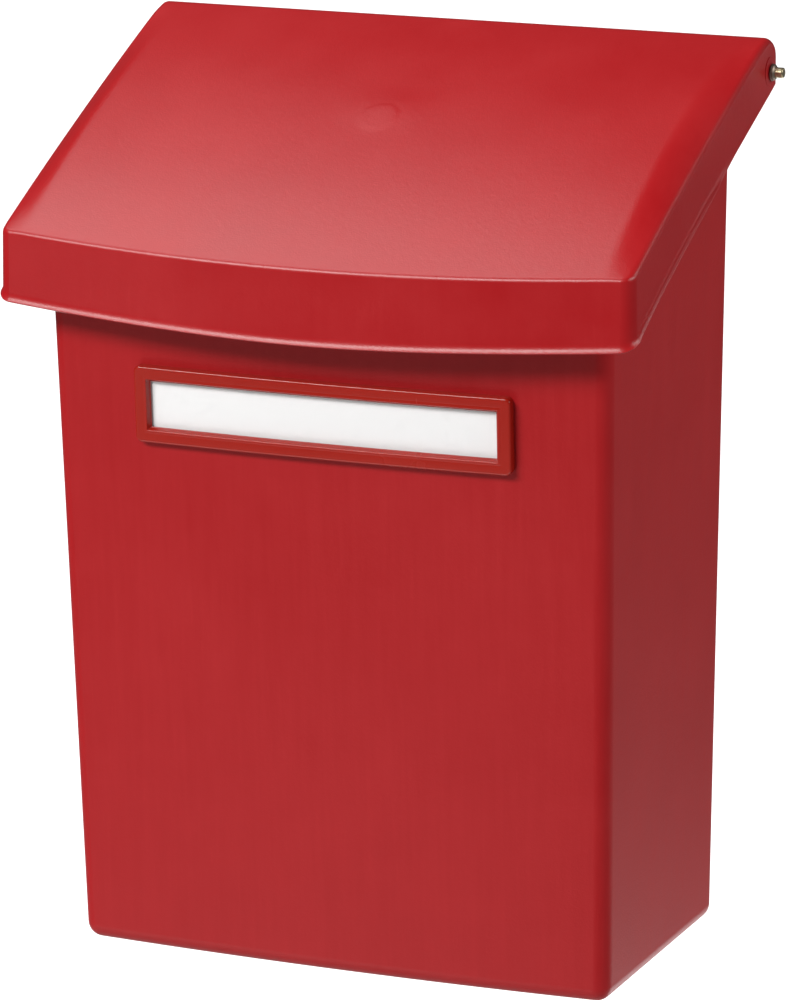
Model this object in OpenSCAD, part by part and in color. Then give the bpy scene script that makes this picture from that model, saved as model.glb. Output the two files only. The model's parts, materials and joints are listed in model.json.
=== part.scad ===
// Wall letter box: a deep moulded body, a curved lid that swings up on a steel rod along the
// top of the back, and a clip-on name plate holder on the front.
// Millimetres. The origin is the centre of the four wall screw holes, on the wall plane.
// +X is to the right of someone facing the box, +Y goes into the wall and +Z is up.
// Inside the modules, heights are counted from the underside of the body and depths from the
// outside of its back wall.

/* [Body] */
// Width of the body at its underside
body_w = 268; // [250:2:280]
// Depth of the body at its underside, from the back wall to the front corners
body_d = 145.4; // [135:0.2:150]
// Outward lean of each side wall, in degrees
side_lean = 0.9; // [0.3:0.1:1.1]
// Outward lean of the front wall, in degrees
front_lean = 2.5; // [1:0.1:3]
// How far the middle of the front wall stands forward of its corners
front_bow = 4.6; // [2:0.2:6]
// Radius of the upright corners and of the edge round the underside
body_r = 7.8; // [5:0.2:10]
// Wall thickness of the body and of the lid
wall = 2.5; // [2:0.1:2.6]
// Thickness of the floor
floor_t = 3; // [2.5:0.1:4]
// How far the flange along the rim stands out from the walls
flange_w = 4; // [2:0.5:5]
// Thickness of the rim's flange
flange_t = 2.4; // [2:0.2:4]
// Height of the body's back wall
back_h = 404; // [398:1:405]
// Diameter of each drain hole in the floor
drain_d = 5; // [3:0.5:6]

/* [Lid] */
// Width of the lid above its lip
lid_w = 312; // [306:0.2:316]
// Reach of the lid in front of the body's back wall, at the middle
lid_reach = 183.8; // [181:0.2:187]
// How far the middle of the lid's front stands forward of its corners
lid_bow = 8.4; // [6:0.2:12]
// Reach of the lid behind the body's back wall
lid_tail = 14.8; // [14:0.2:15]
// Height of the lid's top over the body's back wall
lid_rear_z = 428.3; // [427:0.2:432]
// Height of the lid's top at the middle of its front
lid_front_z = 344; // [338:0.2:348]
// Rise of the top's curve over its own chord
lid_rise = 9.0; // [6:0.5:14]
// Depth of the front skirt at the middle
skirt_h = 35.2; // [32:0.2:37]
// Height of the side skirts' lower edge at the lid's tail
skirt_tail_z = 406.6; // [404:0.2:408]
// Radius along the upper edges of the lid
lid_edge_r = 3.5; // [2.8:0.1:4.4]
// Radius of the lid's upright front corners
lid_corner_r = 6.5; // [5:0.5:9]
// Radius of the lid's rounded tail
tail_r = 10; // [9:0.2:11]
// How far the lip stands out from the skirt
lip_w = 1.3; // [0.8:0.1:2]
// Height of the lip
lip_h = 2.6; // [2:0.2:4]

/* [Hinge] */
// Diameter of the hinge rod
rod_d = 5; // [4.6:0.2:5.4]
// Radial clearance of the rod in its bores
rod_gap = 0.05; // [0.03:0.01:0.08]
// Distance of the rod's axis behind the body's back wall
pin_y = 5.8; // [5.6:0.1:6]
// Height of the rod's axis
pin_z = 413.2; // [412.8:0.1:413.6]
// Length of rod that shows outside each retainer
rod_tip = 3.8; // [3:0.2:8]
// Outer diameter of the hinge knuckles on the body
knuckle_d = 10; // [9:0.2:10.4]
// Outer diameter of the sleeves inside the lid's sides
sleeve_d = 12.2; // [11:0.2:12.2]
// Outer diameter of the flat washers
washer_d = 8.2; // [8:0.2:11]
// Thickness of the flat washers
washer_t = 0.8; // [0.6:0.1:1.2]
// Outer diameter of the push-on retainers
retainer_d = 7.6; // [7.4:0.2:9]
// Thickness of the push-on retainers
retainer_t = 1.3; // [1.2:0.1:2.6]
// Largest gap left along the rod between parts that turn on each other
side_gap = 0.4; // [0.3:0.1:0.6]

/* [Name plate holder] */
// Height of the holder's middle on the front wall
label_z = 270; // [220:1:285]
// Width of the card that shows
label_w = 172; // [140:1:180]
// Height of the card that shows
label_h = 21.8; // [18:0.2:26]
// Width of the frame's side bars
bar_side = 7.6; // [6:0.2:9]
// Width of the frame's top and bottom bars
bar_top = 7.3; // [6:0.1:9]
// How far the frame stands out from the front wall
frame_t = 4.4; // [3.6:0.2:6]
// Radius of the frame's corners
frame_r = 3; // [2:0.5:4]
// Thickness of the clear window
window_t = 0.7; // [0.5:0.1:0.8]
// Thickness of the card
card_t = 0.4; // [0.2:0.1:0.5]

/* [Wall fixing] */
// Distance of the body's back wall from the house wall
stand_off = 24; // [24:0.5:28]
// Width of each hollow rail on the back
rail_w = 34; // [28:1:38]
// Height of the rails' lower end
rail_low = 10; // [9:1:30]
// Height of the rails' upper end
rail_high = 384; // [370:1:388]
// Distance between the screw holes across the box
screw_span_x = 200; // [180:2:204]
// Distance between the upper and lower screw holes
screw_span_z = 280; // [240:5:290]
// Height of the lower screw holes
screw_low = 60; // [50:1:70]
// Diameter of the screw holes
screw_d = 6; // [5:0.5:7]

/* [Hidden] */

body_red = "#b01c24";
frame_red = "#b4201f";
steel = "#a79a72";
zinc = "#8f8c88";

// Thickness of a layer that only carries an outline into a hull
skin = 0.01;
// Spare length on a cutting shape
over = 1;
// Growth of the lid's sections for each millimetre in from its sides
hair = 0.01;
// Steps in a quarter round of the two mouldings
round_steps = 5;
// Steps along a bowed or curved outline
bow_steps = 12;
// Fineness of bores, rods and washers
round_fn = 64;
// Fineness of the rounded corners in an outline
corner_fn = 32;

// The rim of the body lies this far under the outside of the lid's top
rim_under = wall + 0.8;
// The rim drops to the back wall's height here, to leave room for the hinge
rim_step_y = -18;
// The flange stops here, clear of the swinging tail
flange_end_y = -22;

// Each knuckle is a pair of X limits on one half of the body
knuckle_spans = [[30, 50], [118, 137]];
// Rear face of the webs that carry the knuckles
web_y = 2.8;
// Height at which the webs start to grow out of the back wall
web_z = 382;
// Depth of the shallow boss round each rod hole, and its diameter
boss_t = 0.6;
boss_d = 15;
// Outside of the lid's sides, of the washers and of the retainers
lid_side = lid_w / 2;
washer_x = lid_side + boss_t + side_gap;
retainer_x = washer_x + washer_t;
rod_x = retainer_x + retainer_t + rod_tip;
rod_chamfer = 0.5;
// Between these X limits the tail ends level with the rod, so that it can pass the knuckles
tail_half = lid_side - wall - 3;

// Length, width and place of the frame's clips, along the frame and from its middle
clip_w = 8;
clip_t = 2;
clip_x = 62;
clip_z = label_h / 2 + bar_top / 2;
clip_hook = 1;
clip_play = 0.2;
// How deep the clips are rooted in the frame, and how far they reach behind the wall
clip_root = 1.5;
clip_tail = 1.4;
// Depth of the space for the card and window behind the frame, and its overlap all round
pocket_t = window_t + card_t + 0.5;
pocket_edge = 2.2;
// Air left between the frame and the wall that it is clipped to
seat_gap = 0.1;

// Radius along the rails' outer edges, and how far their sloping ends run in
rail_r = 5;
rail_slope = 10;

drain_spots = [-90, 0, 90];
screw_mid = screw_low + screw_span_z / 2;

// Radius and centre of the circle through p and q that rises rise to the left of the line p to q
function arc_r(p, q, rise) = (pow(norm(q - p) / 2, 2) + rise * rise) / (2 * rise);
function arc_centre(p, q, rise) =
    let (u = (q - p) / norm(q - p), left = [-u[1], u[0]])
    (p + q) / 2 - left * (arc_r(p, q, rise) - rise);

// The lid's top is such a circle, drawn from front to back
top_front = [-lid_reach, lid_front_z];
top_rear = [0, lid_rear_z];
top_r = arc_r(top_front, top_rear, lid_rise);
top_c = arc_centre(top_front, top_rear, lid_rise);
function lid_top(y, under = 0) = top_c[1] + sqrt(pow(top_r - under, 2) - pow(y - top_c[0], 2));

// The skirt's lower edge is a quadratic curve that bends most near the front
edge_front = [-lid_reach, lid_front_z - skirt_h];
edge_rear = [lid_tail, skirt_tail_z];
edge_bend = edge_front + [14.5, 20.2];
edge_slope = (edge_bend - edge_front) / norm(edge_bend - edge_front);
function edge_point(t) = (1 - t) * (1 - t) * edge_front + 2 * t * (1 - t) * edge_bend + t * t * edge_rear;

// Points on an arc about c, and the direction in which the top's circle faces at p
function arc(c, r, from, to) =
    [for (i = [0:round_steps])
        let (t = from + (to - from) * i / round_steps)
        c + r * [cos(t), sin(t)]];
function top_turn(p) = atan2(p[1] - top_c[1], p[0] - top_c[0]);

// The round of radius r from the lid's top, grown by grow, down to an upright front at y
function edge_round(y, r, grow) =
    let (c = [y + r, lid_top(y + r, r - grow)])
    arc(c, r, top_turn(c), 180);

// The tail's round touches the top's circle and the upright back of the lid
tail_c = [lid_tail - tail_r, lid_top(lid_tail - tail_r, tail_r)];
tail_turn = top_turn(tail_c);

// Radius of the front wall's bow, and how far it falls back at x
bow_r = (pow(body_w / 2, 2) + front_bow * front_bow) / (2 * front_bow);
function bow_back(x) = bow_r - sqrt(bow_r * bow_r - x * x);
function half_w(z) = body_w / 2 + z * tan(side_lean);
function depth(z) = body_d + z * tan(front_lean);
function lid_front(x) = -lid_reach + lid_bow * pow(x / lid_side, 2);
side_front = lid_front(lid_side - lid_corner_r);
// How far a round of radius r has drawn in at a distance d in from the face it ends on
function drawn_in(r, d) = d >= r ? 0 : r - sqrt(r * r - pow(r - d, 2));
// The lid's block is cut off below its skirt, so its own foot is anywhere lower
block_low = edge_front[1] - 40;

// From heights above the underside and depths from the back wall to the part's own origin
module place() {
    translate([0, -stand_off, -screw_mid]) children();
}

// A flat shape in Y and Z, drawn out along X from x0 to x1
module across(x0, x1) {
    translate([x0, 0, 0])
        rotate([90, 0, 90])
            linear_extrude(x1 - x0)
                children();
}

// A round bar along X on the rod's axis
module on_pin(d, x0, x1) {
    translate([x0, pin_y, pin_z])
        rotate([0, 90, 0])
            cylinder(d = d, h = x1 - x0, $fn = round_fn);
}

// Plan of the body at height z, grown by grow all round
module body_plan(z, grow) {
    w = half_w(z);
    offset(r = body_r + grow, $fn = corner_fn)
        offset(delta = -body_r)
            polygon(concat([[-w, 0], [w, 0]],
                [for (i = [bow_steps:-1:0])
                    let (x = w * (2 * i / bow_steps - 1))
                    [x, -depth(z) - front_bow + bow_back(x)]]));
}

// The body as a solid block with a rounded underside at height z0
module body_block(grow, z0, z1) {
    hull() {
        for (i = [0:round_steps])
            let (t = 90 * i / round_steps, r = body_r + min(grow, 0))
            translate([0, 0, z0 + r * (1 - cos(t))])
                linear_extrude(skin) body_plan(z0, grow - r * (1 - sin(t)));
        translate([0, 0, z1]) linear_extrude(skin) body_plan(z1, grow);
    }
}

// Everything under the rim, less drop
module under_rim(drop, y_end) {
    across(-lid_side, lid_side)
        polygon(concat([[-lid_reach, 0]],
            [for (i = [0:bow_steps])
                let (y = -lid_reach + (y_end + lid_reach) * i / bow_steps)
                [y, lid_top(y, rim_under + drop)]],
            [[y_end, 0]]));
}

// The hollow rails that hold the body off the wall, or with grow under 0 their channels
module wall_rails(grow) {
    w = rail_w + 2 * grow;
    d = stand_off + grow;
    r = rail_r + grow;
    start = wall + over;
    for (side = [-1, 1])
        translate([side * screw_span_x / 2, 0, 0])
            intersection() {
                translate([0, 0, rail_low])
                    linear_extrude(rail_high - rail_low) {
                        translate([-w / 2, -start]) square([w, d - r + start]);
                        translate([-w / 2 + r, -start]) square([w - 2 * r, d + start]);
                        for (sx = [-1, 1])
                            translate([sx * (w / 2 - r), d - r]) circle(r = r, $fn = round_fn);
                    }
                across(-w, w)
                    polygon([[-start, rail_low - grow], [0, rail_low - grow],
                        [d, rail_low - grow + rail_slope], [d, rail_high + grow - rail_slope],
                        [0, rail_high + grow], [-start, rail_high + grow]]);
            }
}

// Four hinge knuckles on webs, joined by a strip that keeps rain out under the lid's tail
module knuckles() {
    across(-knuckle_spans[1][1], knuckle_spans[1][1])
        polygon([[-wall, web_z], [0, web_z], [0, pin_z], [-wall, pin_z]]);
    for (side = [0, 1])
        mirror([side, 0, 0])
            for (span = knuckle_spans) {
                on_pin(knuckle_d, span[0], span[1]);
                across(span[0], span[1])
                    polygon([[-wall, web_z], [-0.5, web_z], [web_y, web_z + 8], [web_y, pin_z],
                        [pin_y, pin_z + knuckle_d / 2], [0, pin_z + knuckle_d / 2], [-wall, pin_z]]);
            }
}

// A place on the front wall, with Z up the wall and -Y out of it
module on_front() {
    translate([0, -depth(label_z) - front_bow, label_z])
        rotate([front_lean, 0, 0])
            children();
}

// A plate that follows the bow of the front wall, between two distances from it
module bowed_plate(w, h, near, far) {
    xs = [for (i = [0:2 * bow_steps]) w * (i / (2 * bow_steps) - 0.5)];
    back = [for (i = [0:2 * bow_steps]) [xs[i], bow_back(xs[i]) - near]];
    front = [for (i = [2 * bow_steps:-1:0]) [xs[i], bow_back(xs[i]) - far]];
    translate([0, 0, -h / 2])
        linear_extrude(h)
            polygon(concat(back, front));
}

// Places of the four clips, each with Z away from the frame's middle
module at_clips() {
    for (sx = [-1, 1], sz = [0, 1])
        mirror([0, 0, sz])
            translate([sx * clip_x, bow_back(clip_x), clip_z])
                children();
}

// A hooked clip that passes through the wall and catches behind it
module clip() {
    translate([-clip_w / 2, -clip_root, -clip_t / 2])
        cube([clip_w, clip_root + wall + clip_tail, clip_t]);
    translate([-clip_w / 2, wall + clip_tail - clip_hook, 0])
        cube([clip_w, clip_hook, clip_t / 2 + clip_hook]);
}

// The slot for a clip, tall enough to let its hook in
module clip_slot() {
    w = clip_w + 2 * clip_play;
    h = clip_t + clip_hook + 2 * clip_play;
    translate([-w / 2, -over, clip_t / 2 + clip_play - h])
        cube([w, wall + 2 * over, h]);
}

module body_shell() {
    color(body_red)
        place()
            difference() {
                union() {
                    intersection() {
                        body_block(0, 0, lid_rear_z);
                        union() {
                            under_rim(0, rim_step_y);
                            translate([-lid_side, rim_step_y - skin, 0])
                                cube([lid_w, -rim_step_y + over, back_h]);
                        }
                    }
                    intersection() {
                        body_block(flange_w, 0, lid_rear_z);
                        difference() {
                            under_rim(0, flange_end_y);
                            under_rim(flange_t, flange_end_y + over);
                        }
                    }
                    wall_rails(0);
                    knuckles();
                }
                difference() {
                    body_block(-wall, floor_t, lid_rear_z + over);
                    translate([-lid_side, -wall - skin, back_h - over])
                        cube([lid_w, 2 * wall, 2 * stand_off]);
                }
                wall_rails(-wall);
                on_pin(rod_d + 2 * rod_gap, -lid_side, lid_side);
                on_front() at_clips() clip_slot();
                for (x = drain_spots)
                    translate([x, -body_d / 2, -over])
                        cylinder(d = drain_d, h = floor_t + 2 * over, $fn = round_fn);
                for (sx = [-1, 1], z = [screw_low, screw_low + screw_span_z])
                    translate([sx * screw_span_x / 2, stand_off + over, z])
                        rotate([90, 0, 0])
                            cylinder(d = screw_d, h = wall + 2 * over, $fn = round_fn);
            }
}

// Side view of the lid's block at a distance in from its sides, grown by grow all round. It is a
// hair larger for each step in, so that no three corners of the block lie on one line.
module lid_section(inset, grow) {
    r = lid_edge_r + grow;
    g = grow - drawn_in(r, inset) + hair * inset;
    y0 = side_front - grow + drawn_in(lid_corner_r + grow, inset);
    tail = arc(tail_c, tail_r + g, 0, tail_turn);
    nose = edge_round(y0, r, g);
    y_tail = tail[round_steps][0];
    y_step = (nose[0][0] - y_tail) / bow_steps;
    polygon(concat([[y0, block_low], [lid_tail + g, block_low]], tail,
        [for (i = [1:bow_steps - 1])
            let (y = y_tail + i * y_step)
            [y, lid_top(y, -g)]],
        nose));
}

// The bowed front's outline at x: its rounded upper edge and the foot of its face
module lid_nose(x, grow) {
    r = lid_edge_r + grow;
    y = lid_front(x) - grow;
    polygon(concat(edge_round(y, r, grow), [[y, block_low], [y + r, block_low]]));
}

// The lid as a solid block, rounded along its upper edges and down its front corners.
// Each outline is drawn from one side to the other, so only its ends shape the block.
module lid_block(grow) {
    hull() {
        for (i = [0:round_steps])
            let (inset = (lid_corner_r + grow) * (1 - cos(90 * i / round_steps)))
            let (x = lid_side + grow - inset)
            across(-x, x) lid_section(inset, grow);
        for (i = [1:bow_steps])
            let (x = (lid_side - lid_corner_r) * (i - 0.5) / bow_steps)
            across(-x, x) lid_nose(x, grow);
    }
}

// Everything above the skirt's lower edge, raised by lift
module above_edge(lift) {
    curve = [for (i = [0:bow_steps]) edge_point(i / bow_steps) + [0, lift]];
    high = lid_rear_z + 20;
    foot = curve[0] - 10 * edge_slope;
    across(-lid_w, lid_w)
        polygon(concat([[foot[0], high], foot], curve,
            [[2 * lid_tail, curve[bow_steps][1]], [2 * lid_tail, high]]));
}

module lid_shell() {
    color(body_red)
        place()
            difference() {
                union() {
                    difference() {
                        union() {
                            intersection() {
                                lid_block(0);
                                above_edge(0);
                            }
                            intersection() {
                                lid_block(lip_w);
                                difference() {
                                    above_edge(0);
                                    above_edge(lip_h);
                                    translate([-lid_w, flange_end_y, 0])
                                        cube([2 * lid_w, 100, lid_rear_z + 30]);
                                }
                            }
                        }
                        lid_block(-wall);
                        translate([-tail_half, pin_y, 0])
                            cube([2 * tail_half, 2 * lid_tail, pin_z]);
                    }
                    for (side = [0, 1])
                        mirror([side, 0, 0]) {
                            on_pin(sleeve_d, knuckle_spans[1][1] + side_gap, lid_side - over);
                            on_pin(boss_d, lid_side - over, lid_side + boss_t);
                        }
                }
                on_pin(rod_d + 2 * rod_gap, -lid_w, lid_w);
            }
}

module hinge_rod() {
    color(steel)
        place()
            translate([0, pin_y, pin_z])
                rotate([0, 90, 0])
                    rotate_extrude($fn = round_fn)
                        polygon([[0, -rod_x], [rod_d / 2 - rod_chamfer, -rod_x],
                            [rod_d / 2, -rod_x + rod_chamfer], [rod_d / 2, rod_x - rod_chamfer],
                            [rod_d / 2 - rod_chamfer, rod_x], [0, rod_x]]);
}

module washer(side) {
    color(zinc)
        place()
            mirror([side < 0 ? 1 : 0, 0, 0])
                difference() {
                    on_pin(washer_d, washer_x, washer_x + washer_t);
                    on_pin(rod_d + 0.4, washer_x - over, washer_x + washer_t + over);
                }
}

// A domed spring washer pushed over the rod's end, its crown facing out
module retainer(side) {
    bore_r = rod_d / 2 + 0.02;
    crown_r = retainer_d / 2 - 0.9;
    color(zinc)
        place()
            mirror([side < 0 ? 1 : 0, 0, 0])
                translate([retainer_x, pin_y, pin_z])
                    rotate([0, 90, 0])
                        rotate_extrude($fn = round_fn)
                            polygon([[bore_r, 0], [retainer_d / 2, 0], [retainer_d / 2, 0.7],
                                [crown_r, retainer_t], [bore_r, retainer_t]]);
}

module washer_left() washer(-1);
module washer_right() washer(1);
module retainer_left() retainer(-1);
module retainer_right() retainer(1);

// A flat shape in X and Z, drawn out through the front wall
module through_front() {
    rotate([90, 0, 0])
        linear_extrude(40, center = true)
            children();
}

module label_frame() {
    outer_w = label_w + 2 * bar_side;
    outer_h = label_h + 2 * bar_top;
    color(frame_red)
        place()
            on_front() {
                difference() {
                    intersection() {
                        bowed_plate(outer_w, outer_h, seat_gap, frame_t);
                        through_front()
                            for (sx = [-1, 1], sz = [-1, 1])
                                union() {
                                    translate([sx * (outer_w / 2 - frame_r), sz * (outer_h / 2 - frame_r)])
                                        circle(r = frame_r, $fn = round_fn);
                                    square([outer_w - 2 * frame_r, outer_h], center = true);
                                    square([outer_w, outer_h - 2 * frame_r], center = true);
                                }
                    }
                    through_front()
                        square([label_w, label_h], center = true);
                    bowed_plate(label_w + 2 * pocket_edge, label_h + 2 * pocket_edge, -over, pocket_t);
                }
                at_clips() clip();
            }
}

module label_window() {
    near = seat_gap + card_t + 0.1;
    color([0.9, 0.95, 1, 0.35])
        place()
            on_front()
                bowed_plate(label_w + 2 * pocket_edge - 0.8, label_h + 2 * pocket_edge - 0.6,
                    near, near + window_t);
}

module label_card() {
    color("white")
        place()
            on_front()
                bowed_plate(label_w + 2 * pocket_edge - 1, label_h + 2 * pocket_edge - 0.8,
                    seat_gap, seat_gap + card_t);
}

body_shell();
lid_shell();
hinge_rod();
washer_left();
washer_right();
retainer_left();
retainer_right();
label_frame();
label_window();
label_card();
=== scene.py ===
"""Wall letter box with a hinged lid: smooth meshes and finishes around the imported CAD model.

Meshes are worked out in the mould's own measure: millimetres, heights up from the underside of
the body, depths from the outside of its back wall and widths from the middle. Mould.place()
turns them into the row frame's metres.
"""

import json
import logging
import math
from dataclasses import dataclass, field
from enum import Enum
from typing import Callable, Sequence

import bmesh
import bpy
from mathutils import Matrix, Quaternion, Vector


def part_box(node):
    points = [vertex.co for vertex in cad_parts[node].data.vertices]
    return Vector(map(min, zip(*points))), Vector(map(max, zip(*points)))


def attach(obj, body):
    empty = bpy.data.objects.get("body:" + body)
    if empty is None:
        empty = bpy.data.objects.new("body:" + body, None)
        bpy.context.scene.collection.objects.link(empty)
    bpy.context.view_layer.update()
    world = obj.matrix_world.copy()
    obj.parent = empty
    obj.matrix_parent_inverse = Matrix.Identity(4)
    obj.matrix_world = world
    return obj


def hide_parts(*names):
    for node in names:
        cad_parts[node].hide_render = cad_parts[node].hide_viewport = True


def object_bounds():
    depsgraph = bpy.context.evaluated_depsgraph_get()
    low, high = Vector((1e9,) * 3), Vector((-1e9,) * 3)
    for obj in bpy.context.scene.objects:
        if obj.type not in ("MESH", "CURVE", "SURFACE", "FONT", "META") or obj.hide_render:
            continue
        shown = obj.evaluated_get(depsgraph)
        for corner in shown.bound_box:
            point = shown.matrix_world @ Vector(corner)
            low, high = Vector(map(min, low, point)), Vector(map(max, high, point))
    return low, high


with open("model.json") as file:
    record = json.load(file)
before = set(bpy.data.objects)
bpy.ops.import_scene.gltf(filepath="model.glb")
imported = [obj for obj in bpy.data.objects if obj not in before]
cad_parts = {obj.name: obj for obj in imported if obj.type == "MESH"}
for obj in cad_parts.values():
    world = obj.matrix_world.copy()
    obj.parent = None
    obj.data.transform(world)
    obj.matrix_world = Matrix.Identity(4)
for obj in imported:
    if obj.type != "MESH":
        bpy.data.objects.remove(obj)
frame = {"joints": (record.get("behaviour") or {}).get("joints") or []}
CAD_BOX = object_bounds()

LOG = logging.getLogger("letter_box")
MM = 0.001

Flat = tuple[float, float]
Point = tuple[float, float, float]
Colour = tuple[float, float, float]
Grid = list[list[Point]]

Thing = bpy.types.Object
Material = bpy.types.Material
Tree = bpy.types.NodeTree
Node = bpy.types.Node
Socket = bpy.types.NodeSocket


class Body(Enum):
    """The CAD bodies that a piece can ride on."""

    BOX = "box"
    LID = "lid"


class Slot(Enum):
    """The record's material slots."""

    BODY = "body_plastic"
    LID = "lid_plastic"
    FRAME = "frame_plastic"
    WINDOW = "window_clear"
    CARD = "card_white"
    ROD = "rod_steel"
    ZINC = "washer_zinc"


class Join(Enum):
    """How a tool shape is joined to a base shape."""

    ADD = "UNION"
    CUT = "DIFFERENCE"


class Run(Enum):
    """The stretches of a rounded outline, from the middle of the back to the middle of the front."""

    BACK = "back"
    REAR_CORNER = "rear corner"
    SIDE = "side"
    FRONT_CORNER = "front corner"
    FRONT = "front"


# ---- Plane geometry ----


def lerp(a: float, b: float, t: float) -> float:
    """The value a share t of the way from a to b."""
    return a + (b - a) * t


def ease(t: float) -> float:
    """A smooth step from 0 to 1, held at both ends."""
    t = min(max(t, 0.0), 1.0)
    return t * t * (3 - 2 * t)


def spread(a: float, b: float, steps: int) -> list[float]:
    """Evenly spaced values from a to b, both included."""
    return [lerp(a, b, i / steps) for i in range(steps + 1)]


def arc(centre: Flat, radius: float, start: float, end: float, steps: int) -> list[Flat]:
    """The steps + 1 points of an arc from angle start to angle end, in radians."""
    return [(centre[0] + radius * math.cos(a), centre[1] + radius * math.sin(a)) for a in spread(start, end, steps)]


def circle(centre: Flat, radius: float, steps: int) -> list[Flat]:
    """Points once round a circle."""
    return arc(centre, radius, 0.0, 2 * math.pi, steps)[:-1]


def turned(axis: Flat, profile: Sequence[Flat], steps: int) -> Grid:
    """Rings round an axis that runs across, one for each place along it and radius there."""
    return [[(x, y, z) for y, z in circle(axis, radius, steps)] for x, radius in profile]


def drawn_in(radius: float, distance: float) -> float:
    """How far a round of this radius has drawn in at a distance in from the face it ends on."""
    if distance >= radius:
        return 0.0
    return radius - math.sqrt(radius * radius - (radius - distance) ** 2)


@dataclass(frozen=True)
class Bow:
    """A shallow circular bow across a front, deepest in the middle.

    Attributes:
        half: Half the width over which the bow falls back by its full depth.
        depth: How far the middle stands forward of the ends.
    """

    half: float
    depth: float

    @property
    def radius(self) -> float:
        """Radius of the bow's circle."""
        return (self.half**2 + self.depth**2) / (2 * self.depth)

    def fall(self, x: float) -> float:
        """How far the bow has fallen back at x."""
        return self.radius - math.sqrt(self.radius**2 - x * x)


@dataclass(frozen=True)
class LidCurve:
    """The circle that the lid's top follows in side view.

    Attributes:
        front: Depth and height of the top at the middle of the front.
        rear: Depth and height of the top over the back wall.
        rise: Rise of the curve over its chord.
    """

    front: Flat
    rear: Flat
    rise: float

    @property
    def radius(self) -> float:
        """Radius of the circle."""
        half = math.dist(self.front, self.rear) / 2
        return (half**2 + self.rise**2) / (2 * self.rise)

    @property
    def centre(self) -> Flat:
        """Centre of the circle."""
        length = math.dist(self.front, self.rear)
        along = ((self.rear[0] - self.front[0]) / length, (self.rear[1] - self.front[1]) / length)
        drop = self.radius - self.rise
        return (
            (self.front[0] + self.rear[0]) / 2 + along[1] * drop,
            (self.front[1] + self.rear[1]) / 2 - along[0] * drop,
        )

    def height(self, y: float, under: float = 0.0) -> float:
        """Height of the top at depth y, or of a parallel curve that far under it."""
        return self.centre[1] + math.sqrt((self.radius - under) ** 2 - (y - self.centre[0]) ** 2)

    def facing(self, p: Flat) -> float:
        """Angle in which the circle faces at the point nearest p."""
        return math.atan2(p[1] - self.centre[1], p[0] - self.centre[0])


# ---- Mesh tools ----


@dataclass(frozen=True)
class Mould:
    """Where the mould's own measure lies in the row frame.

    Attributes:
        back: The row frame's Y at the outside of the body's back wall, in metres.
        under: The row frame's Z at the underside of the body, in metres.
    """

    back: float
    under: float

    def place(self, p: Point) -> Vector:
        """The row frame's point, in metres, for a point of the mould in millimetres."""
        return Vector((p[0] * MM, p[1] * MM + self.back, p[2] * MM + self.under))

    def depth_of(self, y: float) -> float:
        """The mould's depth, in millimetres, for a Y of the row frame."""
        return (y - self.back) / MM

    def height_of(self, z: float) -> float:
        """The mould's height, in millimetres, for a Z of the row frame."""
        return (z - self.under) / MM


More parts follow.
